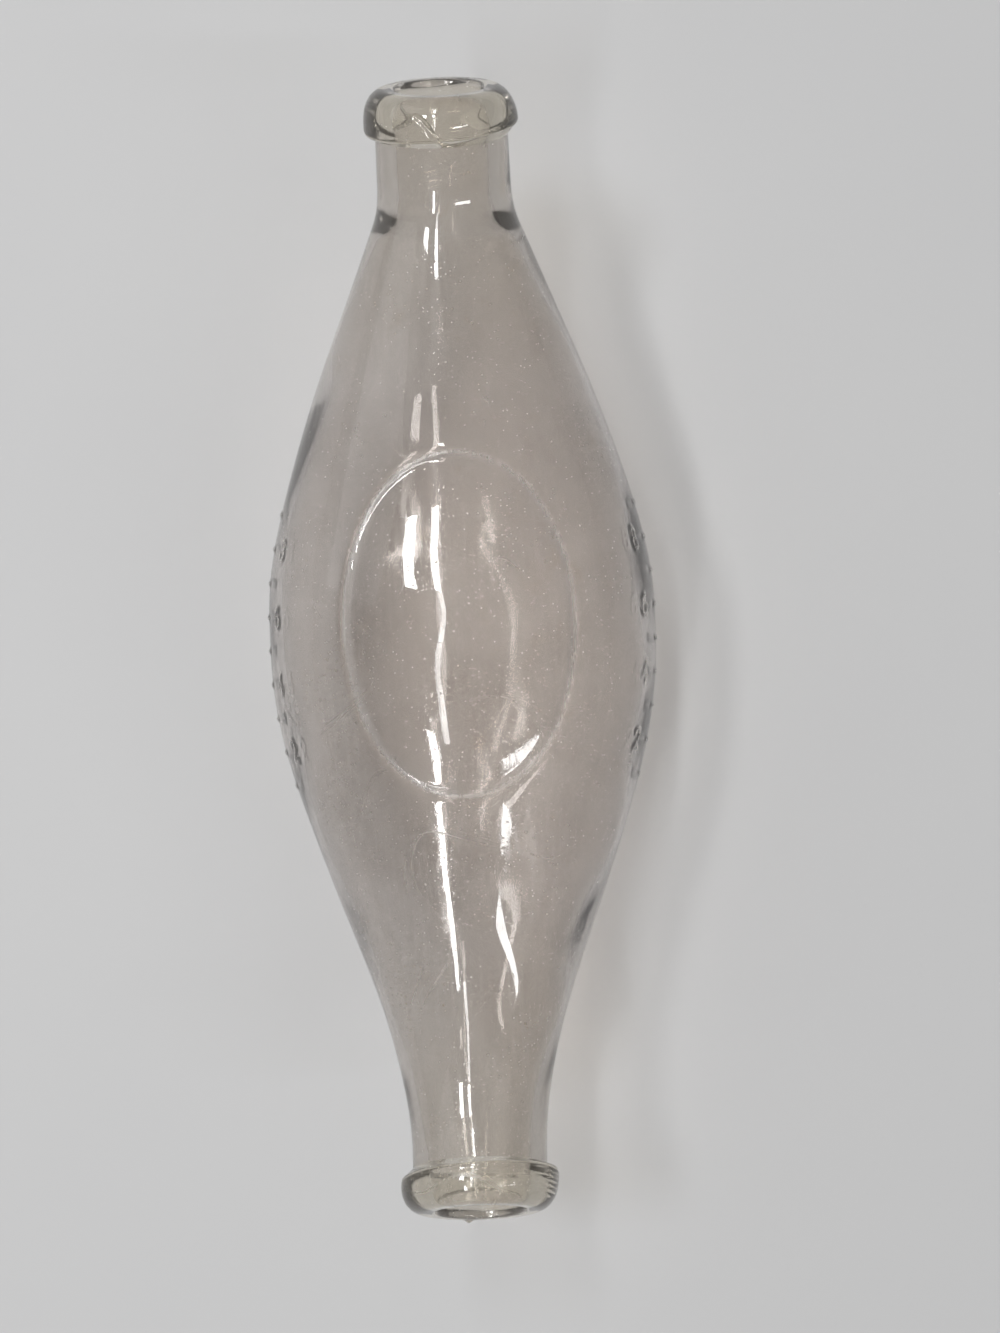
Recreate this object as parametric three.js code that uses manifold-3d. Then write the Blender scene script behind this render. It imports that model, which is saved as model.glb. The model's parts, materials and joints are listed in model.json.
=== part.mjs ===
// Double-ended feeding bottle of blown glass, bare, lying on the flat under its belly.
// The body is bent like a boat, so both open necks rise, and a lip ring of glass sits on each neck.
// Millimetres, +Z up, teat end towards +Y, valve end towards -Y.
import * as THREE from 'three';
import { mergeVertices } from 'three/addons/utils/BufferGeometryUtils.js';
import Module from 'manifold-3d';

const wasm = await Module();
wasm.setup();

// Whole bottle
const overallLength = 196;
const joinGap = 0.3; // the hair of space between a lip and the neck it sits on

// Belly
const bellyRadius = 34.8; // half the greatest width
const bellyPlace = 91.5; // along the spine, from the end of the valve neck
const bellyDepth = 0.89; // height of the belly's section over its width
const bellyWall = 2.4;
const cavityDepth = 0.882; // height of the hollow's section over its width
const flatWall = 2.4; // glass left over the flat on the underside

// Outer outline: a pull is how far a curve keeps the direction that it has at one of its ends
const neckPull = 30.5; // from the valve neck
const bellyPullToValve = 32.5;
const bellyPullToTeat = 14;
const coneSlope = 0.43; // of the cone between the belly and the shoulder of the teat neck
const coneLength = 53;
const shoulderRadius = 12.9;
const shoulderPlace = 14.9; // back from the end of the teat neck
const shoulderPull = 2.5;
const shoulderLength = 7.5;
const neckDraft = 0.2; // the teat neck narrows by this much to its end

// Outline of the hollow
const hollowNeckFlare = 2.4; // radius gained over the pull from the valve neck
const hollowConeSlope = 0.45;
const hollowConeLength = 46;
const hollowShoulderRadius = 11.8;
const hollowShoulderPull = 2.7;
const hollowShoulderLength = 7.5; // over which the hollow closes to the bore of the teat neck
const hollowBorePull = 3.2;
const runOut = 2; // how far the hollow is cut past both necks

// Ends: tilt in degrees, height of the neck's end above the table, pull of the spine along the neck.
// The two heights hold the spine so low that the table presses a flat oval on the belly.
const teatEnd = {
  side: 1,
  tilt: 29.5,
  height: 52.5,
  pull: 62,
  neckRadius: 11.1,
  boreRadius: 7.7,
  boreLength: 9.2,
  lipRadius: 12.9,
  lipHeight: 7.7,
  throatRadius: 7.15,
  mouthRadius: 8.05,
};
const valveEnd = {
  side: -1,
  tilt: 26.5,
  height: 49.1,
  pull: 60,
  neckRadius: 11.35,
  boreRadius: 8.5,
  lipRadius: 13.4,
  lipHeight: 7.3,
  throatRadius: 7.3,
  mouthRadius: 8.2,
};
const landWidth = 1.1; // flat ring on the crest of each lip

// Raised marks: a measuring scale up each flank and a plain oval bead on the front
const tickCount = 9;
const tickSpacing = 6.2;
const tickLength = 4.6;
const tickHalf = 0.45;
const tickAngle = 10; // degrees above the widest line of the flank
const beadLength = 66;
const beadWidth = 40;
const beadHalf = 0.55;
const beadPlace = bellyPlace + 4;

// Fineness of the round surfaces
const bodySides = 48;
const cavitySides = 32;
const lipSides = 40;
const bodySteps = 13;
const cavitySteps = 10;
const lipSteps = 6;

const glass = {
  roughness: 0.08,
  metalness: 0,
  transparent: true,
  opacity: 0.4,
};
const bodyGlass = new THREE.MeshStandardMaterial({ color: 0xb9b3b6, ...glass });
const teatLipGlass = new THREE.MeshStandardMaterial({ color: 0xb7b5a6, ...glass });
const valveLipGlass = new THREE.MeshStandardMaterial({ color: 0xb9b6a9, ...glass });

// Section of a lip ring: radius across, height above the neck up. The underside flares out to a
// tight corner, the outside domes in to a flat land on the crest, and the mouth rolls down to a throat
// that is a little narrower than the bore.
function lipSection({ boreRadius, neckRadius, lipRadius, lipHeight, throatRadius, mouthRadius }) {
  const crestRadius = mouthRadius + landWidth;
  const dome = 0.8 * lipHeight;
  const throat = 0.82 * lipHeight;
  const middle = 0.5 * lipHeight;
  const section = new THREE.Path();
  section.moveTo(boreRadius, 0);
  section.lineTo(neckRadius, 0);
  section.lineTo(lipRadius - 0.5, 0.13 * lipHeight);
  section.quadraticCurveTo(lipRadius, 0.16 * lipHeight, lipRadius, 0.26 * lipHeight);
  section.bezierCurveTo(lipRadius, dome, crestRadius + 2, lipHeight, crestRadius, lipHeight);
  section.lineTo(mouthRadius, lipHeight);
  section.quadraticCurveTo(throatRadius, lipHeight, throatRadius, throat);
  section.bezierCurveTo(throatRadius, middle, boreRadius, middle, boreRadius, 0.2 * lipHeight);
  section.closePath();
  return section.getPoints(lipSteps);
}

// Direction of a neck, out of the bottle
function neckDirection({ side, tilt }) {
  const angle = THREE.MathUtils.degToRad(tilt);
  return new THREE.Vector3(0, side * Math.cos(angle), Math.sin(angle));
}

// Centre of a neck's end face, set back so that the lip's far edge reaches half the overall length
function neckCentre(end) {
  const angle = THREE.MathUtils.degToRad(end.tilt);
  const reaches = lipSection(end).map(({ x, y }) => (y + joinGap) * Math.cos(angle) + x * Math.sin(angle));
  const setBack = overallLength / 2 - Math.max(...reaches);
  return new THREE.Vector3(0, end.side * setBack, end.height);
}

// Spine of the body, from the valve neck down through the belly and up to the teat neck
const valveCentre = neckCentre(valveEnd);
const teatCentre = neckCentre(teatEnd);
const spine = new THREE.CubicBezierCurve3(
  valveCentre,
  valveCentre.clone().addScaledVector(neckDirection(valveEnd), -valveEnd.pull),
  teatCentre.clone().addScaledVector(neckDirection(teatEnd), -teatEnd.pull),
  teatCentre,
);
spine.arcLengthDivisions = 800;
const spineLength = spine.getLength();

// Place and direction on the spine, which runs on straight past both necks
function spineAt(distance) {
  const inside = THREE.MathUtils.clamp(distance, 0, spineLength);
  const along = spine.getTangentAt(inside / spineLength);
  const centre = spine.getPointAt(inside / spineLength).addScaledVector(along, distance - inside);
  return { centre, along };
}

// Bends a turned solid, whose axis is Y, along the spine, and flattens its rings towards the belly
function bendAlongSpine(turned, depth) {
  const position = turned.getAttribute('position');
  const point = new THREE.Vector3();
  for (let index = 0; index < position.count; index += 1) {
    point.fromBufferAttribute(position, index);
    const { centre, along } = spineAt(point.y);
    const ringRadius = Math.hypot(point.x, point.z);
    const swell = THREE.MathUtils.inverseLerp(teatEnd.neckRadius, bellyRadius, ringRadius);
    const rise = point.z * THREE.MathUtils.lerp(1, depth, THREE.MathUtils.clamp(swell, 0, 1));
    position.setXYZ(index, point.x, centre.y - along.z * rise, centre.z + along.y * rise);
  }
  return turned;
}

// Radius of the body's outline at a distance along the spine
function outlineRadius(distance) {
  const outline = bodyOutline();
  const next = outline.findIndex((point) => point.y > distance);
  const share = THREE.MathUtils.inverseLerp(outline[next - 1].y, outline[next].y, distance);
  return THREE.MathUtils.lerp(outline[next - 1].x, outline[next].x, share);
}

// Lays a flat mark on the body: X runs round the belly from an angle, Y along the spine, Z off the glass
function layOnBody(mark, angle, place) {
  const position = mark.getAttribute('position');
  const point = new THREE.Vector3();
  for (let index = 0; index < position.count; index += 1) {
    point.fromBufferAttribute(position, index);
    const distance = place + point.y;
    const radius = outlineRadius(distance);
    const turn = angle - point.x / radius;
    const lifted = radius + point.z;
    position.setXYZ(index, lifted * Math.cos(turn), distance, lifted * Math.sin(turn));
  }
  return bendAlongSpine(mark, bellyDepth);
}

function solidFrom(geometry) {
  geometry.deleteAttribute('normal');
  geometry.deleteAttribute('uv');
  const merged = mergeVertices(geometry, 1e-4);
  const vertProperties = new Float32Array(merged.getAttribute('position').array);
  const corners = merged.getIndex().array;
  const kept = [];
  for (let first = 0; first < corners.length; first += 3) {
    const [a, b, c] = corners.slice(first, first + 3);
    if (a !== b && b !== c && c !== a) {
      kept.push(a, b, c);
    }
  }
  const triVerts = new Uint32Array(kept);
  return new wasm.Manifold(new wasm.Mesh({ numProp: 3, vertProperties, triVerts }));
}

function geometryFrom(solid) {
  const { vertProperties, triVerts } = solid.getMesh();
  const geometry = new THREE.BufferGeometry();
  geometry.setAttribute('position', new THREE.BufferAttribute(vertProperties, 3));
  geometry.setIndex(new THREE.BufferAttribute(triVerts, 1));
  geometry.computeVertexNormals();
  return geometry;
}

// Outer outline of the body: radius across, distance along the spine up
function bodyOutline() {
  const shoulder = spineLength - shoulderPlace;
  const outline = new THREE.Path();
  outline.moveTo(0, 0);
  outline.lineTo(valveEnd.neckRadius, 0);
  outline.bezierCurveTo(
    valveEnd.neckRadius, neckPull,
    bellyRadius, bellyPlace - bellyPullToValve,
    bellyRadius, bellyPlace,
  );
  outline.bezierCurveTo(
    bellyRadius, bellyPlace + bellyPullToTeat,
    shoulderRadius + coneSlope * coneLength, shoulder - coneLength,
    shoulderRadius, shoulder,
  );
  outline.bezierCurveTo(
    shoulderRadius - coneSlope * shoulderPull, shoulder + shoulderPull,
    teatEnd.neckRadius + 2 * neckDraft, shoulder + shoulderLength / 2,
    teatEnd.neckRadius + neckDraft, shoulder + shoulderLength,
  );
  outline.lineTo(teatEnd.neckRadius, spineLength);
  outline.lineTo(0, spineLength);
  return outline.getPoints(bodySteps);
}

// Outline of the hollow, which runs out through both necks
function cavityOutline() {
  const hollowRadius = bellyRadius - bellyWall;
  const shoulder = spineLength - teatEnd.boreLength - hollowShoulderLength;
  const outline = new THREE.Path();
  outline.moveTo(0, -runOut);
  outline.lineTo(valveEnd.boreRadius, -runOut);
  outline.lineTo(valveEnd.boreRadius, 0);
  outline.bezierCurveTo(
    valveEnd.boreRadius + hollowNeckFlare, neckPull,
    hollowRadius, bellyPlace - bellyPullToValve,
    hollowRadius, bellyPlace,
  );
  outline.bezierCurveTo(
    hollowRadius, bellyPlace + bellyPullToTeat,
    hollowShoulderRadius + hollowConeSlope * hollowConeLength, shoulder - hollowConeLength,
    hollowShoulderRadius, shoulder,
  );
  outline.bezierCurveTo(
    hollowShoulderRadius - hollowConeSlope * hollowShoulderPull, shoulder + hollowShoulderPull,
    teatEnd.boreRadius, shoulder + hollowShoulderLength - hollowBorePull,
    teatEnd.boreRadius, shoulder + hollowShoulderLength,
  );
  outline.lineTo(teatEnd.boreRadius, spineLength + runOut);
  outline.lineTo(0, spineLength + runOut);
  return outline.getPoints(cavitySteps);
}

// Both scales and the bead, half sunk in the glass
function raisedMarks() {
  const marks = [];
  const flank = THREE.MathUtils.degToRad(tickAngle);
  for (const angle of [flank, Math.PI - flank]) {
    for (let tick = 0; tick < tickCount; tick += 1) {
      const place = bellyPlace + (tick - (tickCount - 1) / 2) * tickSpacing;
      const bar = new THREE.CapsuleGeometry(tickHalf, tickLength - 2 * tickHalf, 2, 6);
      marks.push(layOnBody(bar.rotateZ(Math.PI / 2), angle, place));
    }
  }
  const bead = new THREE.TorusGeometry(beadWidth / 2, beadHalf, 6, 64);
  stretchRing(bead, beadWidth / 2, beadLength / 2);
  marks.push(layOnBody(bead, Math.PI / 2, beadPlace));
  return marks;
}

// Moves a round ring's own circle out to an oval and keeps the ring's thickness
function stretchRing(ring, radius, halfLength) {
  const position = ring.getAttribute('position');
  for (let index = 0; index < position.count; index += 1) {
    const turn = Math.atan2(position.getY(index), position.getX(index));
    position.setY(index, position.getY(index) + (halfLength - radius) * Math.sin(turn));
  }
}

// Everything under a level
function slabBelow(level) {
  const thickness = 20;
  const slab = new THREE.BoxGeometry(4 * bellyRadius, overallLength, thickness);
  return solidFrom(slab.translate(0, 0, level - thickness / 2));
}

function buildBody() {
  const outside = new THREE.LatheGeometry(bodyOutline(), bodySides);
  const hollow = new THREE.LatheGeometry(cavityOutline(), cavitySides);
  const blank = raisedMarks().reduce(
    (glassSoFar, mark) => glassSoFar.add(solidFrom(mark)),
    solidFrom(bendAlongSpine(outside, bellyDepth)),
  );
  const room = solidFrom(bendAlongSpine(hollow, cavityDepth)).subtract(slabBelow(flatWall));
  const shell = blank.subtract(slabBelow(0)).subtract(room);
  const body = new THREE.Mesh(geometryFrom(shell), bodyGlass);
  body.name = 'glass_body';
  return body;
}

function buildLip(name, end, material) {
  const ring = solidFrom(new THREE.LatheGeometry(lipSection(end), lipSides));
  const lip = new THREE.Mesh(geometryFrom(ring), material);
  const direction = neckDirection(end);
  lip.name = name;
  lip.position.copy(neckCentre(end)).addScaledVector(direction, joinGap);
  lip.quaternion.setFromUnitVectors(new THREE.Vector3(0, 1, 0), direction);
  return lip;
}

const bottle = new THREE.Group();
bottle.name = 'feeding_bottle';
bottle.add(buildBody());
bottle.add(buildLip('teat_end_lip', teatEnd, teatLipGlass));
bottle.add(buildLip('valve_end_lip', valveEnd, valveLipGlass));

export default bottle;
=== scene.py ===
# Double-ended feeding bottle of old blown glass, lying on its belly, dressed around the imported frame.
import json
import math

import bpy
import numpy as np
from mathutils import Matrix, Vector


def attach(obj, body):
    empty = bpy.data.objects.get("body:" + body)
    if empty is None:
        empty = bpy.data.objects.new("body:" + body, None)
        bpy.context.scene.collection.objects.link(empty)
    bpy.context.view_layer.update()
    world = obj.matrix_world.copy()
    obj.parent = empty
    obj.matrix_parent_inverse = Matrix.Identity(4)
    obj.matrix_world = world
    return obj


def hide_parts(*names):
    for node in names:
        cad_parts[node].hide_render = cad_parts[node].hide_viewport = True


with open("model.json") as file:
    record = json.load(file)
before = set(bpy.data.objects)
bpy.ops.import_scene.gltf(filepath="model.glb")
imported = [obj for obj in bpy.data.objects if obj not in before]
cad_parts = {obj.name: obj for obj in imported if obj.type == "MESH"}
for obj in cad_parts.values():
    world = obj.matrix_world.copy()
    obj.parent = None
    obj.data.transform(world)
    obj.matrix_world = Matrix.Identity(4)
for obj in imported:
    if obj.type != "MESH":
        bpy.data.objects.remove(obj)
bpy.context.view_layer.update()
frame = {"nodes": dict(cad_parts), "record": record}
print("frame loaded:", sorted(frame["nodes"]))

mm = 0.001
scene = bpy.context.scene
mounts = {m["name"]: m for m in frame["record"]["mounts"]}
joinGap = 0.3  # a lip stands this far off its neck in the frame; here the neck's glass runs on to it

# Lip rings, in millimetres, turn in degrees: 0 is the right flank, 90 the side seen from above
teatLip = {
    "piece": "teatLipRing", "node": "teat_end_lip", "slot": "teat_lip_glass", "mount": "teat_seat",
    "bore": 7.7, "neck": 11.1, "rim": 12.9, "height": 7.7,
    "throat": 7.15, "mouth": 8.05, "land": 1.1, "pull": 62,
    "lean": 0.55,  # the underside climbs towards the right flank
    "sag": 0.12, "sagSeed": 11,
    "lap": {"turns": (108, 86), "heights": (5.0, 0.9), "depth": 0.3, "half": 0.26},
    "toolMarks": None, "drip": None,
}
valveLip = {
    "piece": "valveLipRing", "node": "valve_end_lip", "slot": "valve_lip_glass", "mount": "valve_seat",
    "bore": 8.5, "neck": 11.35, "rim": 13.4, "height": 7.3,
    "throat": 7.3, "mouth": 8.2, "land": 1.1, "pull": 60,
    "lean": -0.4,
    "sag": 0.14, "sagSeed": 23,
    "lap": None,
    "toolMarks": {
        "turn": 8, "spread": 38, "spacing": 0.74, "depth": 0.11, "slant": 0.024, "fade": (0.6, 0.9),
    },
    "drip": {"turn": -105, "size": 0.6, "rise": 0.55},
}

# Section that both lips share; heights are shares of the lip's own
lipShape = {
    "rows": 84, "columns": 252,
    "cornerInset": 0.5, "cornerHeight": 0.13, "bendHeight": 0.16, "sideHeight": 0.26, "domePull": 0.8,
    "crestPull": 2, "rollHeight": 0.94, "throatHeight": 0.82, "borePull": 0.5, "boreHeight": 0.2,
    "jointFade": (0.02, 0.3), "leanRise": 0.12, "leanFade": (0.1, 0.7), "crestDrop": 0.15, "dropFrom": 0.5,
    "sink": 1.5, "mouthSag": 0.4, "lapWander": 0.35,
}

# Body, in millimetres; distances run along the spine from the end of the valve neck
body = {
    "piece": "blownBody", "node": "glass_body", "slot": "body_glass",
    "bellyRadius": 34.8, "bellyPlace": 91.5, "bellyDepth": 0.89, "hollowDepth": 0.882,
    "bellyWall": 2.4, "flatWall": 2.4, "flatEase": 0.12, "floorEase": 0.5,
    "neckPull": 30.5, "pullToValve": 32.5, "pullToTeat": 14, "coneSlope": 0.43, "coneLength": 53,
    "shoulderRadius": 12.9, "shoulderBack": 14.9, "shoulderPull": 2.5, "shoulderLength": 7.5, "draft": 0.2,
    "hollowFlare": 2.4, "hollowConeSlope": 0.45, "hollowConeLength": 46,
    "hollowShoulder": 11.8, "hollowShoulderPull": 2.7, "hollowShoulderLength": 7.5, "hollowBorePull": 3.2,
    "boreLength": 9.2,
    "boreShift": -0.15,  # the bore of the valve neck sits off the middle, so its right wall is thicker
    "shiftFrom": (0, 4), "shiftTo": (12, 40),
    "rows": 284, "columns": 282, "hollowRows": 150, "hollowEvery": 3,
    # closer mesh at the raised marks and in the shoulder of the hollow, and how many times closer
    "fineRuns": (-32, 40), "runTimes": 2.1, "fineFlank": (-4, 33), "flankTimes": 3.2,
    "fineTop": (50, 130), "topTimes": 2.6, "fineShoulder": 30, "shoulderTimes": 2.5,
    "outerRipple": 0.05, "outerSink": 1.2, "outerFade": 12,
    "hollowRipple": 0.13, "hollowFadeFrom": (1, 26), "hollowFadeTo": (40, 8), "rippleSeed": 5,
    # shorter waves where the front of the mould was cut
    "frontRipple": 0.09, "frontWaves": (9, 34, 15), "frontSpread": 0.75, "frontAhead": 6, "frontReach": 46,
}

# Raised marks on the body
marks = {
    "ovalHalfWidth": 20, "ovalHalfLength": 33, "ovalAhead": 4, "ovalRise": 0.5, "ovalHalf": 0.62,
    "ticks": 9, "tickSpacing": 6.2, "tickLength": 4.6, "tickTurn": 10, "tickRise": 0.25, "tickHalf": 0.5,
    "digitTurn": 24, "digitHeight": 3.5, "digitWidth": 2.2, "digitRise": 0.2, "digitHalf": 0.4,
    "seamRise": 0.08, "seamHalf": 0.4, "seamFrom": (14, 34), "seamTo": (42, 24),
    "scuffed": (0.35, 0.9),
}


def bezier(points, steps=400):
    t = np.linspace(0, 1, steps)[:, None]
    a, b, c, d = (np.array(p, float) for p in points)
    return (1 - t) ** 3 * a + 3 * (1 - t) ** 2 * t * b + 3 * (1 - t) * t**2 * c + t**3 * d


def neckEnd(lip):
    axis = np.array(mounts[lip["mount"]]["axis"], float)
    axis /= np.linalg.norm(axis)
    crest = np.array(mounts[lip["mount"]]["pos_m"], float) / mm
    crest[0] = 0  # the mount is a point on the ring, the axis runs through the middle
    return crest - axis * (lip["height"] + joinGap), axis


valveEnd, valveAxis = neckEnd(valveLip)
teatEnd, teatAxis = neckEnd(teatLip)
spineLine = bezier(
    (valveEnd, valveEnd - valveAxis * valveLip["pull"], teatEnd - teatAxis * teatLip["pull"], teatEnd), 4001
)
spineRun = np.concatenate(([0], np.cumsum(np.linalg.norm(np.diff(spineLine, axis=0), axis=1))))
spineLength = spineRun[-1]
spineAim = np.gradient(spineLine, axis=0)
spineAim /= np.linalg.norm(spineAim, axis=1)[:, None]
print(f"spine {spineLength:.1f} mm long")


def spineAt(run):
    inside = np.clip(run, 0, spineLength)
    place = np.stack([np.interp(inside, spineRun, spineLine[:, k]) for k in range(3)], -1)
    aim = np.stack([np.interp(inside, spineRun, spineAim[:, k]) for k in range(3)], -1)
    return place + aim * (run - inside)[..., None], aim


# A point of the body: the section is round at the necks and lower than wide at the belly
def bodyPoint(run, turn, radius, depth):
    run, turn, radius = np.broadcast_arrays(run, turn, radius)
    place, aim = spineAt(run)
    swell = np.clip((radius - teatLip["neck"]) / (body["bellyRadius"] - teatLip["neck"]), 0, 1)
    rise = radius * np.sin(turn) * (1 + (depth - 1) * swell)
    return np.stack(
        [radius * np.cos(turn), place[..., 1] - aim[..., 2] * rise, place[..., 2] + aim[..., 1] * rise], -1
    )


def outerOutline():
    b, belly, shoulder = body, body["bellyPlace"], spineLength - body["shoulderBack"]
    neck = teatLip["neck"]
    return np.concatenate((
        bezier((
            (valveLip["neck"], 0), (valveLip["neck"], b["neckPull"]),
            (b["bellyRadius"], belly - b["pullToValve"]), (b["bellyRadius"], belly),
        )),
        bezier((
            (b["bellyRadius"], belly), (b["bellyRadius"], belly + b["pullToTeat"]),
            (b["shoulderRadius"] + b["coneSlope"] * b["coneLength"], shoulder - b["coneLength"]),
            (b["shoulderRadius"], shoulder),
        )),
        bezier((
            (b["shoulderRadius"], shoulder),
            (b["shoulderRadius"] - b["coneSlope"] * b["shoulderPull"], shoulder + b["shoulderPull"]),
            (neck + 2 * b["draft"], shoulder + b["shoulderLength"] / 2),
            (neck + b["draft"], shoulder + b["shoulderLength"]),
        )),
        [(neck, spineLength)],
    ))


def hollowOutline():
    b, belly = body, body["bellyPlace"]
    wide = b["bellyRadius"] - b["bellyWall"]
    radius, slope, pull = b["hollowShoulder"], b["hollowConeSlope"], b["hollowShoulderPull"]
    cone = b["hollowConeLength"]
    shoulder = spineLength - b["boreLength"] - b["hollowShoulderLength"]
    bore = teatLip["bore"]
    return np.concatenate((
        bezier((
            (valveLip["bore"], 0), (valveLip["bore"] + b["hollowFlare"], b["neckPull"]),
            (wide, belly - b["pullToValve"]), (wide, belly),
        )),
        bezier((
            (wide, belly), (wide, belly + b["pullToTeat"]),
            (radius + slope * cone, shoulder - cone), (radius, shoulder),
        )),
        bezier((
            (radius, shoulder), (radius - slope * pull, shoulder + pull),
            (bore, shoulder + b["hollowShoulderLength"] - b["hollowBorePull"]),
            (bore, shoulder + b["hollowShoulderLength"]),
        )),
        [(bore, spineLength)],
    ))


def ease(value, low, high):
    t = np.clip((value - low) / (high - low), 0, 1)
    return t * t * (3 - 2 * t)


# Places from start to stop, closer together inside each zone (low, high, times)
def crowded(start, stop, count, zones, edge):
    fine = np.linspace(start, stop, 20001)
    weight = np.ones_like(fine)
    for low, high, times in zones:
        weight += (times - 1) * ease(fine, low - edge, low) * (1 - ease(fine, high, high + edge))
    total = np.concatenate(([0], np.cumsum((weight[1:] + weight[:-1]) / 2)))
    return np.interp(np.linspace(0, total[-1], count), total, fine)


def wrapped(angle):
    return (angle + np.pi) % (2 * np.pi) - np.pi


def mound(distance, half):
    return np.exp(-((distance / half) ** 2))


# Slow waves of hand-made glass, longer along the spine than round it
def ripple(run, turn, size, seed, most=5, longest=90, shortest=28):
    dice = np.random.default_rng(seed)
    total, count = 0, 16
    for _ in range(count):
        around = dice.integers(1, most + 1)
        along = 2 * np.pi / dice.uniform(shortest, longest) * dice.choice((-1, 1))
        total = total + np.cos(around * turn + along * run + dice.uniform(0, 2 * np.pi))
    return total * size / math.sqrt(count / 2)


def arc(x, y, halfWide, halfHigh, start, stop, steps=14):
    turn = np.radians(np.linspace(start, stop, steps))
    return np.stack([x + halfWide * np.cos(turn), y + halfHigh * np.sin(turn)], -1)


# Strokes of the scale's numerals in a box one wide and one high
digitStrokes = {
    2: [np.concatenate((arc(0, 0.22, 0.44, 0.28, 165, -35), [(-0.46, -0.5), (0.48, -0.5)]))],
    4: [np.array([(0.2, -0.5), (0.2, 0.5), (-0.48, -0.2), (0.48, -0.2)])],
    6: [np.concatenate((arc(0.1, 0.02, 0.56, 0.48, 70, 180), arc(0, -0.2, 0.45, 0.3, 180, 540, 24)))],
    8: [arc(0, 0.25, 0.36, 0.25, 0, 360, 20), arc(0, -0.23, 0.45, 0.27, 0, 360, 24)],
}


def strokeDistance(u, v, line):
    nearest = np.full(u.shape, 1e9)
    for (ax, ay), (bx, by) in zip(line[:-1], line[1:]):
        dx, dy = bx - ax, by - ay
        share = np.clip(((u - ax) * dx + (v - ay) * dy) / (dx * dx + dy * dy), 0, 1)
        nearest = np.minimum(nearest, np.hypot(u - ax - share * dx, v - ay - share * dy))
    return nearest


# Height of the raised marks over the plain outline, and where their crests are scuffed
def relief(run, turn, radius):
    m = marks
    run, turn, radius = np.broadcast_arrays(run, turn, radius)
    u, v = wrapped(np.pi / 2 - turn) * radius, run - body["bellyPlace"] - m["ovalAhead"]
    a, b = m["ovalHalfWidth"], m["ovalHalfLength"]
    level = np.sqrt((u / a) ** 2 + (v / b) ** 2) + 1e-9
    away = (level - 1) * level / (np.sqrt((u / a**2) ** 2 + (v / b**2) ** 2) + 1e-9)
    crest = mound(away, m["ovalHalf"])
    height = m["ovalRise"] * crest
    middle = (m["ticks"] - 1) / 2
    flank, digitFlank = np.radians(m["tickTurn"]), np.radians(m["digitTurn"])
    for tickTurn, digitTurn in ((flank, digitFlank), (np.pi - flank, np.pi - digitFlank)):
        u, v = wrapped(tickTurn - turn) * radius, run - body["bellyPlace"]
        nearest = np.clip(np.round(v / m["tickSpacing"] + middle), 0, m["ticks"] - 1) - middle
        beyond = np.maximum(np.abs(u) - (m["tickLength"] / 2 - m["tickHalf"]), 0)
        tick = np.hypot(beyond, v - nearest * m["tickSpacing"])
        crest = np.maximum(crest, mound(tick, m["tickHalf"]))
        height = np.maximum(height, m["tickRise"] * mound(tick, m["tickHalf"]))
        for digit, strokes in digitStrokes.items():
            u = wrapped(digitTurn - turn) * radius
            v = run - body["bellyPlace"] - (digit - 1 - middle) * m["tickSpacing"]
            close = (np.abs(u) < m["digitWidth"]) & (np.abs(v) < m["digitHeight"])
            for line in strokes:
                drawn = line * (m["digitWidth"], m["digitHeight"])
                stroke = mound(strokeDistance(u[close], v[close], drawn), m["digitHalf"])
                crest[close] = np.maximum(crest[close], stroke)
                height[close] = np.maximum(height[close], m["digitRise"] * stroke)
    # mould seams up both flanks, gone at the fire-polished necks
    seamEnd, seamGone = (spineLength - back for back in m["seamTo"])
    seam = m["seamRise"] * ease(run, *m["seamFrom"]) * (1 - ease(run, seamEnd, seamGone))
    for side in (0, np.pi):
        height = np.maximum(height, seam * mound(wrapped(side - turn) * radius, m["seamHalf"]))
    return height, ease(crest, *m["scuffed"])


# Makes a mesh piece; kind 0 is outer glass, 1 the joint between fused glass, 2 the glass of the hollow
def meshPiece(name, points, faces, kinds, materials, scuffed=()):
    mesh = bpy.data.meshes.new(name)
    mesh.from_pydata((np.asarray(points) * mm).tolist(), [], faces)
    for material in materials:
        mesh.materials.append(material)
    mesh.polygons.foreach_set("material_index", kinds)
    mesh.polygons.foreach_set("use_smooth", [True] * len(faces))
    edgeIndex = {e.key: e.index for e in mesh.edges}
    times = {}
    for polygon in mesh.polygons:
        if polygon.material_index == 1:
            for key in polygon.edge_keys:
                times[key] = times.get(key, 0) + 1
    sharp = np.zeros(len(mesh.edges), bool)
    for key, count in times.items():
        if count == 1:
            sharp[edgeIndex[key]] = True
    mesh.attributes.new("sharp_edge", "BOOLEAN", "EDGE").data.foreach_set("value", sharp)
    if len(scuffed):
        mesh.attributes.new("scuffed", "FLOAT", "POINT").data.foreach_set("value", scuffed)
    mesh.validate()
    mesh.update()
    piece = bpy.data.objects.new(name, mesh)
    scene.collection.objects.link(piece)
    return piece


# Faces between rows of a closed grid, numbered from first
def gridFaces(rows, columns, first, outward):
    row, column = np.meshgrid(np.arange(rows - 1), np.arange(columns), indexing="ij")
    here = first + row * columns + column
    beside = first + row * columns + (column + 1) % columns
    quad = np.stack([here, beside, beside + columns, here + columns], -1).reshape(-1, 4)
    return (quad if outward else quad[:, ::-1]).tolist()


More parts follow.
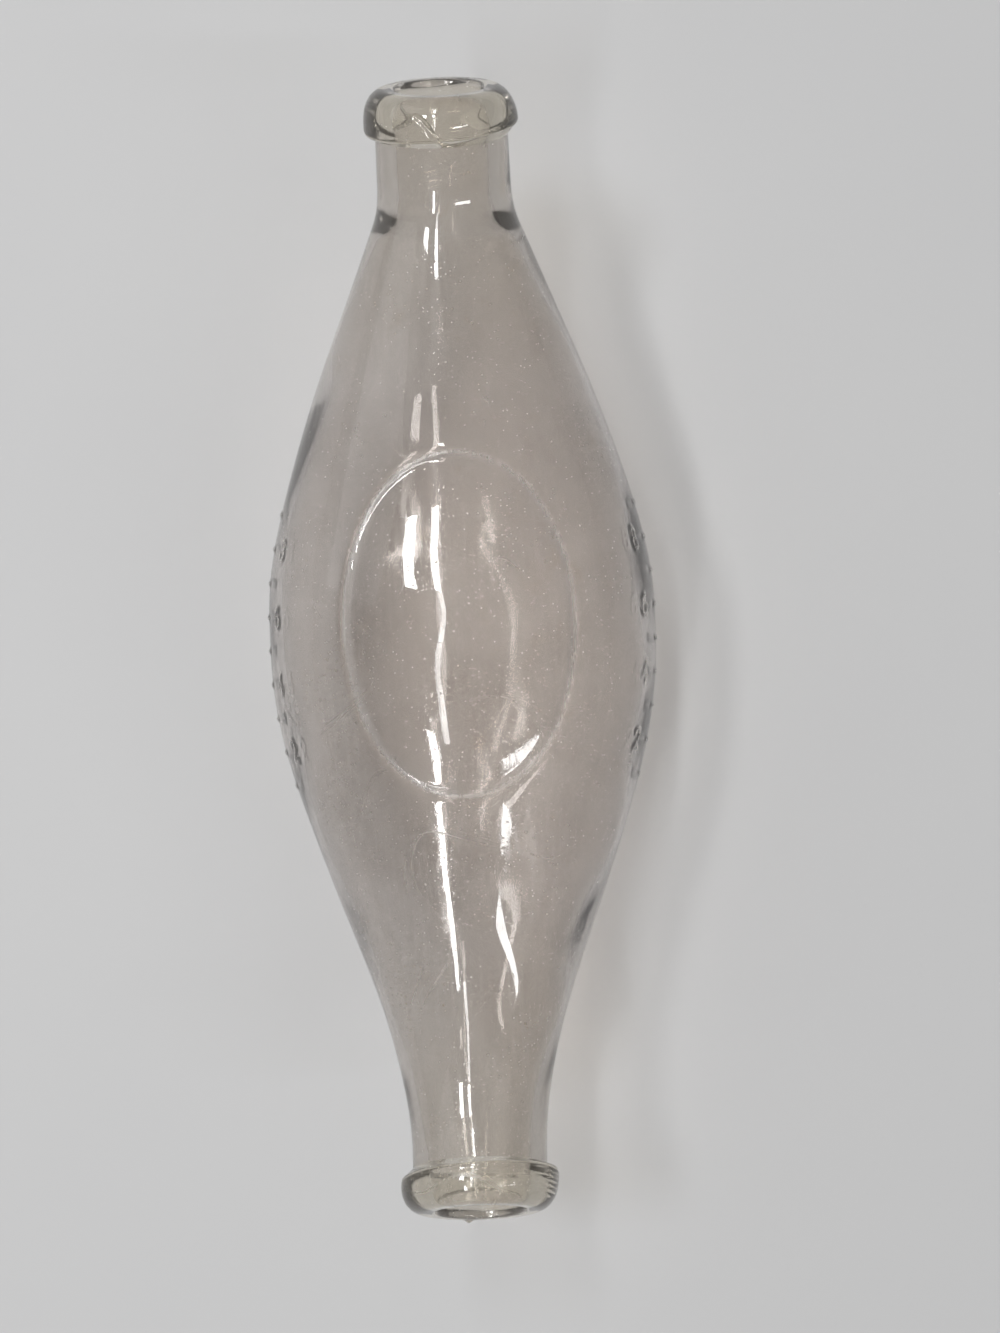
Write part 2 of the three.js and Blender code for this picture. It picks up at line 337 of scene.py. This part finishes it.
def makeBody(materials):
    b = body
    low, high = -joinGap, spineLength + joinGap
    marked = [b["bellyPlace"] + ahead for ahead in b["fineRuns"]]
    runs = crowded(low, high, b["rows"], [(*marked, b["runTimes"])], 8)
    flank, top = np.radians(b["fineFlank"]), np.radians(b["fineTop"])
    flanks = (flank, np.pi - flank[::-1], 2 * np.pi + flank)
    zones = [(*top, b["topTimes"])] + [(*side, b["flankTimes"]) for side in flanks]
    turns = crowded(0, 2 * np.pi, b["columns"] + 1, zones, 0.12)[:-1]
    outline = outerOutline()
    plain = np.interp(runs, outline[:, 1], outline[:, 0])[:, None]
    run, turn = runs[:, None], turns[None, :]
    atEnds = ease(run, 0, b["outerFade"]) * (1 - ease(run, spineLength - b["outerFade"], spineLength))
    wave = ripple(run, turn, b["outerRipple"], b["rippleSeed"]) - b["outerSink"] * b["outerRipple"]
    front = mound(wrapped(turn - np.pi / 2), b["frontSpread"])
    front = front * mound(run - b["bellyPlace"] - b["frontAhead"], b["frontReach"])
    frontWave = ripple(run, turn, b["frontRipple"], b["rippleSeed"] + 2, *b["frontWaves"])
    wave = wave * atEnds + frontWave * front
    height, crests = relief(run, turn, plain)
    outer = bodyPoint(run, turn, plain + wave + height, b["bellyDepth"])
    outer[..., 2] = (outer[..., 2] + np.sqrt(outer[..., 2] ** 2 + b["flatEase"] ** 2)) / 2

    shoulder = (spineLength - b["fineShoulder"], spineLength)
    hollowRuns = crowded(low, high, b["hollowRows"], [(*shoulder, b["shoulderTimes"])], 6)
    hollowTurns = turns[:: b["hollowEvery"]]
    outline = hollowOutline()
    plain = np.interp(hollowRuns, outline[:, 1], outline[:, 0])[:, None]
    run, turn = hollowRuns[:, None], hollowTurns[None, :]
    fadeStart, fadeStop = (spineLength - back for back in b["hollowFadeTo"])
    atEnds = ease(run, *b["hollowFadeFrom"]) * (1 - ease(run, fadeStart, fadeStop))
    wave = ripple(run, turn, b["hollowRipple"], b["rippleSeed"] + 1) * atEnds
    inner = bodyPoint(run, turn, plain + wave, b["hollowDepth"])
    inner[..., 0] += b["boreShift"] * ease(run, *b["shiftFrom"]) * (1 - ease(run, *b["shiftTo"]))
    over = inner[..., 2] - b["flatWall"]
    inner[..., 2] = b["flatWall"] + (over + np.sqrt(over**2 + b["floorEase"] ** 2)) / 2

    rows, columns, inRows, inColumns = len(runs), len(turns), len(hollowRuns), len(hollowTurns)
    points = np.concatenate((outer.reshape(-1, 3), inner.reshape(-1, 3)))
    innerFirst = rows * columns
    faces = gridFaces(rows, columns, 0, False) + gridFaces(inRows, inColumns, innerFirst, True)
    kinds = [0] * ((rows - 1) * columns) + [2] * ((inRows - 1) * inColumns)
    every = b["hollowEvery"]
    for outRow, inRow, flip in ((0, 0, False), (rows - 1, inRows - 1, True)):
        for k in range(inColumns):
            rim = [outRow * columns + (every * k + step) % columns for step in range(every + 1)]
            bore = [innerFirst + inRow * inColumns + (k + step) % inColumns for step in (1, 0)]
            face = rim + bore
            faces.append(face[::-1] if flip else face)
            kinds.append(1)
    scuffed = np.zeros(len(points))
    scuffed[:innerFirst] = crests.ravel()
    return meshPiece(b["piece"], points, faces, kinds, materials, scuffed)


# Section of a lip from the outer edge of its joint, over the crest and down the bore
def lipSection(lip):
    s, rim, high, neck, bore = lipShape, lip["rim"], lip["height"], lip["neck"], lip["bore"]
    crest, mouth, throat = lip["mouth"] + lip["land"], lip["mouth"], lip["throat"]
    roll = (mouth + 2 * throat) / 3
    corner = np.array((rim - s["cornerInset"], s["cornerHeight"] * high))
    bend = np.array((rim, s["bendHeight"] * high))
    side = np.array((rim, s["sideHeight"] * high))
    narrow = (throat, s["throatHeight"] * high)
    inBore = (bore, s["boreHeight"] * high)
    path = np.concatenate((
        np.linspace((neck, 0), corner, 40)[:-1],
        bezier((corner, corner / 3 + bend * 2 / 3, side / 3 + bend * 2 / 3, side), 60)[:-1],
        bezier((side, (rim, s["domePull"] * high), (crest + s["crestPull"], high), (crest, high)), 160)[:-1],
        np.linspace((crest, high), (mouth, high), 30)[:-1],
        bezier(((mouth, high), (roll, high), (throat, s["rollHeight"] * high), narrow), 60)[:-1],
        bezier((narrow, (throat, s["borePull"] * high), (bore, s["borePull"] * high), inBore), 120)[:-1],
        np.linspace(inBore, (bore, 0), 40),
    ))
    run = np.concatenate(([0], np.cumsum(np.linalg.norm(np.diff(path, axis=0), axis=1))))
    even = np.linspace(0, run[-1], s["rows"])
    return np.stack([np.interp(even, run, path[:, k]) for k in range(2)], -1)


def makeLip(lip, end, axis, materials):
    s, high, columns = lipShape, lip["height"], lipShape["columns"]
    section = lipSection(lip)
    turn = np.linspace(0, 2 * np.pi, columns, endpoint=False)[None, :]
    radius = np.repeat(section[:, :1], columns, 1)
    height = np.repeat(section[:, 1:], columns, 1)
    # 0 at the joint, 1 on the ring itself
    free = ease(height, s["jointFade"][0] * high, s["jointFade"][1] * high)
    outside = ease(radius, lip["mouth"], lip["neck"])
    ring = ripple(height * 2, turn, lip["sag"], lip["sagSeed"], most=4, longest=60, shortest=25)
    onRim, inMouth = (ring - s["sink"] * lip["sag"]) * outside, s["mouthSag"] * ring * (1 - outside)
    radius = radius + (onRim + inMouth) * free
    early = np.clip(height / (s["leanRise"] * high), 0, 1)
    early = early * (1 - ease(height, s["leanFade"][0] * high, s["leanFade"][1] * high))
    height = height + lip["lean"] * np.cos(turn) * early * outside
    height = height - s["crestDrop"] * ease(height, s["dropFrom"] * high, high)
    if lip["lap"]:
        lap = lip["lap"]
        (startTurn, endTurn), (startHeight, endHeight) = np.radians(lap["turns"]), lap["heights"]
        share = np.linspace(0, 1, 20)
        wander = s["lapWander"] * np.sin(share * 2 * np.pi)
        line = np.stack([
            -(startTurn + (endTurn - startTurn) * share) * lip["rim"],
            startHeight + (endHeight - startHeight) * share + wander,
        ], -1)
        u, v = np.broadcast_arrays(-turn * lip["rim"], height)
        groove = strokeDistance(u, v, line)
        radius = radius - lap["depth"] * mound(groove, lap["half"]) * outside
    if lip["toolMarks"]:
        tool = lip["toolMarks"]
        near = mound(wrapped(turn - np.radians(tool["turn"])), np.radians(tool["spread"]))
        slant = tool["slant"] * turn * lip["rim"]
        lines = np.cos(2 * np.pi * (height + slant) / tool["spacing"]) - 1
        below = 1 - ease(height, tool["fade"][0] * high, tool["fade"][1] * high)
        radius = radius + tool["depth"] * lines * near * free * outside * below
    if lip["drip"]:
        drip = lip["drip"]
        crest = lip["mouth"] + lip["land"]
        u = wrapped(turn - np.radians(drip["turn"])) * crest
        v = np.hypot(height - high, radius - crest)
        height = height + drip["rise"] * mound(np.hypot(u, v), drip["size"])
    side = np.array((1.0, 0, 0))
    up = np.array((0, -axis[2] * np.sign(axis[1]), abs(axis[1])))
    base = end + axis * joinGap
    points = (
        base
        + axis * height[..., None]
        + side * (radius * np.cos(turn))[..., None]
        + up * (radius * np.sin(turn))[..., None]
    )
    rows = len(section)
    outward = axis[1] < 0  # the valve end counts turns the other way round its axis
    faces = gridFaces(rows, columns, 0, outward)
    inside = (section[:-1, 0] < lip["mouth"]) | (np.arange(rows - 1) > rows / 2)
    kinds = np.repeat(np.where(inside, 2, 0), columns).tolist()
    for k in range(columns):
        beside = (k + 1) % columns
        last = (rows - 1) * columns
        face = [k, last + k, last + beside, beside]
        faces.append(face if outward else face[::-1])
        kinds.append(1)
    return meshPiece(lip["piece"], points.reshape(-1, 3), faces, kinds, materials)


def newMaterial(name):
    material = bpy.data.materials.new(name)
    material.use_nodes = True
    material.node_tree.nodes.clear()
    return material, material.node_tree


# Adds a node; a socket given as a value is linked, anything else is set
def put(tree, kind, inputs=None, **options):
    node = tree.nodes.new("ShaderNode" + kind)
    for name, value in options.items():
        setattr(node, name, value)
    for name, value in (inputs or {}).items():
        if isinstance(value, bpy.types.NodeSocket):
            tree.links.new(value, node.inputs[name])
        else:
            node.inputs[name].default_value = value
    return node


def sums(tree, operation, a, b, clamp=False):
    return put(tree, "Math", {0: a, 1: b}, operation=operation, use_clamp=clamp).outputs[0]


def between(tree, value, low, high):
    return put(tree, "MapRange", {"Value": value, "From Min": low, "From Max": high}, clamp=True).outputs[0]


def blend(tree, share, a, b):
    return put(tree, "MixRGB", {"Fac": share, "Color1": a, "Color2": b}).outputs[0]


# Old glass: cloudy tint, deeper at the necks, with dust along the length, specks, hair scratches and stains
def makeAgedGlass():
    tree = bpy.data.node_groups.new("agedGlass", "ShaderNodeTree")
    for name, kind in (
        ("Tint", "Color"), ("Cloud Tint", "Color"), ("Neck Tint", "Color"), ("Stain Colour", "Color"),
        ("Stain", "Float"), ("Haze", "Float"), ("Streaks", "Float"), ("Specks", "Float"),
        ("Scuff", "Float"),
    ):
        tree.interface.new_socket(name, in_out="INPUT", socket_type="NodeSocket" + kind)
    for name, kind in (("Colour", "Color"), ("Roughness", "Float"), ("Height", "Float")):
        tree.interface.new_socket(name, in_out="OUTPUT", socket_type="NodeSocket" + kind)
    given = tree.nodes.new("NodeGroupInput").outputs
    out = tree.nodes.new("NodeGroupOutput").inputs
    place = put(tree, "TexCoord").outputs["Object"]
    along = put(tree, "SeparateXYZ", {0: place}).outputs["Y"]
    atNecks = between(tree, sums(tree, "ABSOLUTE", along, 0), 0.045, 0.085)
    # more has settled towards the valve end
    settled = put(tree, "MapRange", {
        "Value": along, "From Min": 0.07, "From Max": -0.02, "To Min": 0.45,
    }).outputs[0]

    cloud = put(tree, "TexNoise", {"Vector": place, "Scale": 38, "Detail": 5, "Roughness": 0.65}).outputs[0]
    cloud = between(tree, cloud, 0.36, 0.66)
    colour = blend(tree, cloud, given["Tint"], given["Cloud Tint"])
    colour = blend(tree, atNecks, colour, given["Neck Tint"])

    drawn = put(tree, "VectorMath", {0: place, 1: (1, 0.05, 1)}, operation="MULTIPLY").outputs[0]
    fine = put(tree, "TexNoise", {
        "Vector": drawn, "Scale": 1100, "Detail": 4, "Roughness": 0.65,
    }).outputs[0]
    patch = put(tree, "TexNoise", {"Vector": place, "Scale": 75, "Detail": 3}).outputs[0]
    streak = sums(tree, "MULTIPLY", between(tree, fine, 0.5, 0.72), between(tree, patch, 0.36, 0.6))
    streak = sums(tree, "MULTIPLY", sums(tree, "MULTIPLY", streak, settled), given["Streaks"])

    cells = put(tree, "TexVoronoi", {"Vector": place, "Scale": 480, "Randomness": 1})
    chosen = put(tree, "SeparateColor", {"Color": cells.outputs["Color"]}).outputs
    size = put(tree, "MapRange", {"Value": chosen["Green"], "To Min": 0.04, "To Max": 0.2}).outputs[0]
    dot = sums(tree, "SUBTRACT", 1, sums(tree, "DIVIDE", cells.outputs["Distance"], size), True)
    scarce = sums(tree, "SUBTRACT", 1, sums(tree, "MULTIPLY", settled, 0.5))
    speck = sums(tree, "MULTIPLY", dot, sums(tree, "GREATER_THAN", chosen["Red"], scarce))
    speck = sums(tree, "MULTIPLY", speck, given["Specks"])

    grains = put(tree, "TexVoronoi", {"Vector": place, "Scale": 1300, "Randomness": 1})
    kept = put(tree, "SeparateColor", {"Color": grains.outputs["Color"]}).outputs["Red"]
    kept = sums(tree, "GREATER_THAN", kept, sums(tree, "SUBTRACT", 1, sums(tree, "MULTIPLY", settled, 0.5)))
    grain = sums(tree, "MULTIPLY", between(tree, grains.outputs["Distance"], 0.26, 0.1), kept)
    dusty = sums(tree, "MULTIPLY", given["Specks"], between(tree, patch, 0.3, 0.6))
    grain = sums(tree, "MULTIPLY", grain, dusty)
    speck = sums(tree, "MAXIMUM", speck, sums(tree, "MULTIPLY", grain, 0.8))

    hair = put(tree, "TexNoise", {"Vector": place, "Scale": 26, "Detail": 1, "Distortion": 0.6}).outputs[0]
    hair = sums(tree, "ABSOLUTE", sums(tree, "SUBTRACT", hair, 0.5), 0)
    hair = sums(tree, "MULTIPLY", between(tree, hair, 0.0035, 0.001), between(tree, patch, 0.52, 0.66))

    blot = put(tree, "TexNoise", {"Vector": place, "Scale": 120, "Detail": 5, "Roughness": 0.7}).outputs[0]
    blot = sums(tree, "MULTIPLY", between(tree, blot, 0.62, 0.74), given["Stain"])
    rusty = sums(tree, "GREATER_THAN", chosen["Blue"], 0.86)
    dirt = blend(tree, rusty, (1, 0.99, 0.97, 1), given["Stain Colour"])
    colour = blend(tree, sums(tree, "MULTIPLY", speck, 0.8, True), colour, dirt)
    colour = blend(tree, sums(tree, "MULTIPLY", streak, 0.5, True), colour, (0.96, 0.94, 0.92, 1))
    scuff = sums(tree, "MULTIPLY", given["Scuff"], between(tree, fine, 0.2, 0.5))
    colour = blend(tree, sums(tree, "MULTIPLY", scuff, 0.6), colour, (0.96, 0.94, 0.92, 1))
    tree.links.new(blend(tree, blot, colour, given["Stain Colour"]), out["Colour"])

    rough = sums(tree, "MULTIPLY", given["Haze"], sums(tree, "ADD", cloud, 0.5))
    rough = sums(tree, "ADD", rough, sums(tree, "MULTIPLY", streak, 0.24))
    rough = sums(tree, "ADD", rough, sums(tree, "MULTIPLY", speck, 0.5))
    rough = sums(tree, "ADD", rough, sums(tree, "MULTIPLY", hair, 0.3))
    rough = sums(tree, "ADD", rough, sums(tree, "MULTIPLY", scuff, 0.3))
    tree.links.new(sums(tree, "ADD", rough, sums(tree, "MULTIPLY", blot, 0.3), True), out["Roughness"])

    height = sums(tree, "ADD", sums(tree, "MULTIPLY", streak, 0.4), speck)
    height = sums(tree, "ADD", height, sums(tree, "MULTIPLY", hair, -0.6))
    tree.links.new(height, out["Height"])
    return tree


agedGlass = makeAgedGlass()
print("glass finish ready")


# The joint between fused glass shows nothing
def fusedJoint():
    material, tree = newMaterial("fusedJoint")
    clear = put(tree, "BsdfTransparent")
    put(tree, "OutputMaterial", {"Surface": clear.outputs[0]})
    return material


def blownGlass(name, finish):
    material, tree = newMaterial(name)
    aged = tree.nodes.new("ShaderNodeGroup")
    aged.node_tree = agedGlass
    for socket in ("Tint", "Cloud Tint", "Neck Tint", "Stain Colour", "Stain", "Haze", "Streaks", "Specks"):
        aged.inputs[socket].default_value = finish[socket]
    marked = put(tree, "Attribute", attribute_name="scuffed")
    tree.links.new(marked.outputs["Fac"], aged.inputs["Scuff"])
    bump = put(tree, "Bump", {
        "Height": aged.outputs["Height"], "Strength": 1, "Distance": finish["bump"] * mm,
    })
    glass = put(tree, "BsdfPrincipled", {
        "Base Color": aged.outputs["Colour"], "Roughness": aged.outputs["Roughness"],
        "Normal": bump.outputs[0], "IOR": 1.5, "Transmission Weight": finish["clear"],
    })
    # lamps shine through to the floor, less so through the edges
    edge = put(tree, "LayerWeight", {"Blend": 0.3}).outputs["Facing"]
    lampColour = blend(tree, edge, finish["shadow"], finish["edgeShadow"])
    lampThrough = put(tree, "BsdfTransparent", {"Color": lampColour})
    path = put(tree, "LightPath")
    mix = put(tree, "MixShader", {
        "Fac": path.outputs["Is Shadow Ray"], 1: glass.outputs[0], 2: lampThrough.outputs[0],
    })
    put(tree, "OutputMaterial", {"Surface": mix.outputs[0]})
    return material


# The outer skin carries the tint of the glass, the hollow most of the dust
bodyFinish = {
    "Tint": (0.68, 0.64, 0.612, 1), "Cloud Tint": (0.55, 0.51, 0.482, 1),
    "Neck Tint": (0.59, 0.545, 0.495, 1),
    "Stain Colour": (0.42, 0.30, 0.16, 1), "Stain": 0.25, "Haze": 0.02, "Streaks": 0.7, "Specks": 0.7,
    "bump": 0.012, "clear": 0.97, "shadow": (0.66, 0.64, 0.62, 1), "edgeShadow": (0.2, 0.19, 0.18, 1),
}
hollowFinish = {
    "Tint": (0.94, 0.93, 0.92, 1), "Cloud Tint": (0.86, 0.84, 0.82, 1),
    "Neck Tint": (0.93, 0.91, 0.88, 1),
    "Stain Colour": (0.50, 0.36, 0.18, 1), "Stain": 0.35, "Haze": 0.03, "Streaks": 1.0, "Specks": 1.0,
    "bump": 0.014, "clear": 0.95, "shadow": (0.95, 0.94, 0.93, 1), "edgeShadow": (0.6, 0.58, 0.56, 1),
}
lipFinish = {
    "Tint": (0.66, 0.615, 0.535, 1), "Cloud Tint": (0.58, 0.535, 0.455, 1),
    "Neck Tint": (0.62, 0.575, 0.49, 1),
    "Stain Colour": (0.40, 0.29, 0.14, 1), "Stain": 0.4, "Haze": 0.02, "Streaks": 0.6, "Specks": 0.6,
    "bump": 0.01, "clear": 0.96, "shadow": (0.66, 0.62, 0.54, 1), "edgeShadow": (0.2, 0.18, 0.15, 1),
}

joint = fusedJoint()
hollowGlass = blownGlass("hollowGlass", hollowFinish)
bodyGlass = [blownGlass("bodyGlass", bodyFinish), joint, hollowGlass]
lipGlass = [blownGlass("lipGlass", lipFinish), joint, hollowGlass]
pieces = [
    (makeBody(bodyGlass), body),
    (makeLip(teatLip, teatEnd, teatAxis, lipGlass), teatLip),
    (makeLip(valveLip, valveEnd, valveAxis, lipGlass), valveLip),
]
for piece, settings in pieces:
    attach(piece, "root")
    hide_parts(settings["node"])
    print(f"{piece.name}: {len(piece.data.polygons)} faces")

# Stage: a pale floor, small soft lamps over the bottle, a broad one at the left and a plain grey room
stage = {
    "floorSize": 4.0, "floorDrop": 0.0001,
    "floorColour": (0.56, 0.56, 0.56, 1), "floorShade": (0.53, 0.53, 0.535, 1),
    "room": 0.32,
    "lamps": {
        "ahead": {"place": (-0.46, 0.2, 1.0), "size": (0.11, 0.22), "power": 2.5, "along": (0, 1, 0)},
        "shoulder": {"place": (-0.2, 0.2, 1.0), "size": (0.06, 0.2), "power": 1.2, "along": (0, 1, 0)},
        "neck": {"place": (-0.175, 0.54, 1.0), "size": (0.065, 0.24), "power": 1.5, "along": (0, 1, 0)},
        "behind": {"place": (-0.32, -0.42, 1.0), "size": (0.07, 0.28), "power": 2.0, "along": (0, 1, 0)},
        "strip": {"place": (-0.2, -0.1, 1.05), "size": (0.05, 0.4), "power": 0.8, "along": (0, 1, 0)},
        "right": {"place": (0.7, -0.445, 1.0), "size": (0.045, 0.6), "power": 1.5, "along": (1, 0, 0)},
        "broad": {"place": (-1.3, 0.8, 0.95), "size": (1.5, 1.2), "power": 4, "along": (0, 0, 1)},
    },
    "aim": (0, 0, 0.03),
}


def makeFloor():
    half = stage["floorSize"]
    mesh = bpy.data.meshes.new("floor")
    corners = [(-half, -half, 0), (half, -half, 0), (half, half, 0), (-half, half, 0)]
    mesh.from_pydata(corners, [], [(0, 1, 2, 3)])
    floor = bpy.data.objects.new("floor", mesh)
    floor.location.z = -stage["floorDrop"]
    scene.collection.objects.link(floor)
    material, tree = newMaterial("paleFloor")
    place = put(tree, "TexCoord").outputs["Object"]
    cloud = put(tree, "TexNoise", {"Vector": place, "Scale": 9, "Detail": 3}).outputs[0]
    colour = blend(tree, cloud, stage["floorColour"], stage["floorShade"])
    paint = put(tree, "BsdfPrincipled", {"Base Color": colour, "Roughness": 0.75})
    put(tree, "OutputMaterial", {"Surface": paint.outputs[0]})
    mesh.materials.append(material)


# A flat lamp; its second size runs along the given direction
def softLamp(name, place, size, power, along):
    lamp = bpy.data.lights.new(name, "AREA")
    lamp.shape = "RECTANGLE"
    lamp.size, lamp.size_y = size
    lamp.energy = power
    holder = bpy.data.objects.new(name, lamp)
    holder.location = place
    back = (Vector(place) - Vector(stage["aim"])).normalized()
    wide = Vector(along).cross(back).normalized()
    holder.rotation_euler = Matrix((wide, back.cross(wide), back)).transposed().to_euler()
    scene.collection.objects.link(holder)


makeFloor()
for name, lamp in stage["lamps"].items():
    softLamp(name, **lamp)
room = bpy.data.worlds.new("room")
room.use_nodes = True
room.node_tree.nodes["Background"].inputs["Color"].default_value = (stage["room"],) * 3 + (1,)
scene.world = room
print("stage set")

# Looking straight down on the bottle, turned a little
photoView = {
    "place": (0.00645, -0.00256, 0.31898), "turn": -2.136, "sensor": 36, "lens": 43.2, "clip": (0.01, 20),
}
camera = bpy.data.cameras.new("photoCamera")
camera.sensor_width, camera.lens = photoView["sensor"], photoView["lens"]
camera.clip_start, camera.clip_end = photoView["clip"]
cameraHolder = bpy.data.objects.new("photoCamera", camera)
cameraHolder.location = photoView["place"]
cameraHolder.rotation_euler = (0, 0, math.radians(photoView["turn"]))
scene.collection.objects.link(cameraHolder)
scene.camera = cameraHolder
scene.view_settings.view_transform = "Standard"
scene.cycles.max_bounces = scene.cycles.transmission_bounces = 32  # light crosses many walls of glass
scene.cycles.transparent_max_bounces = 32
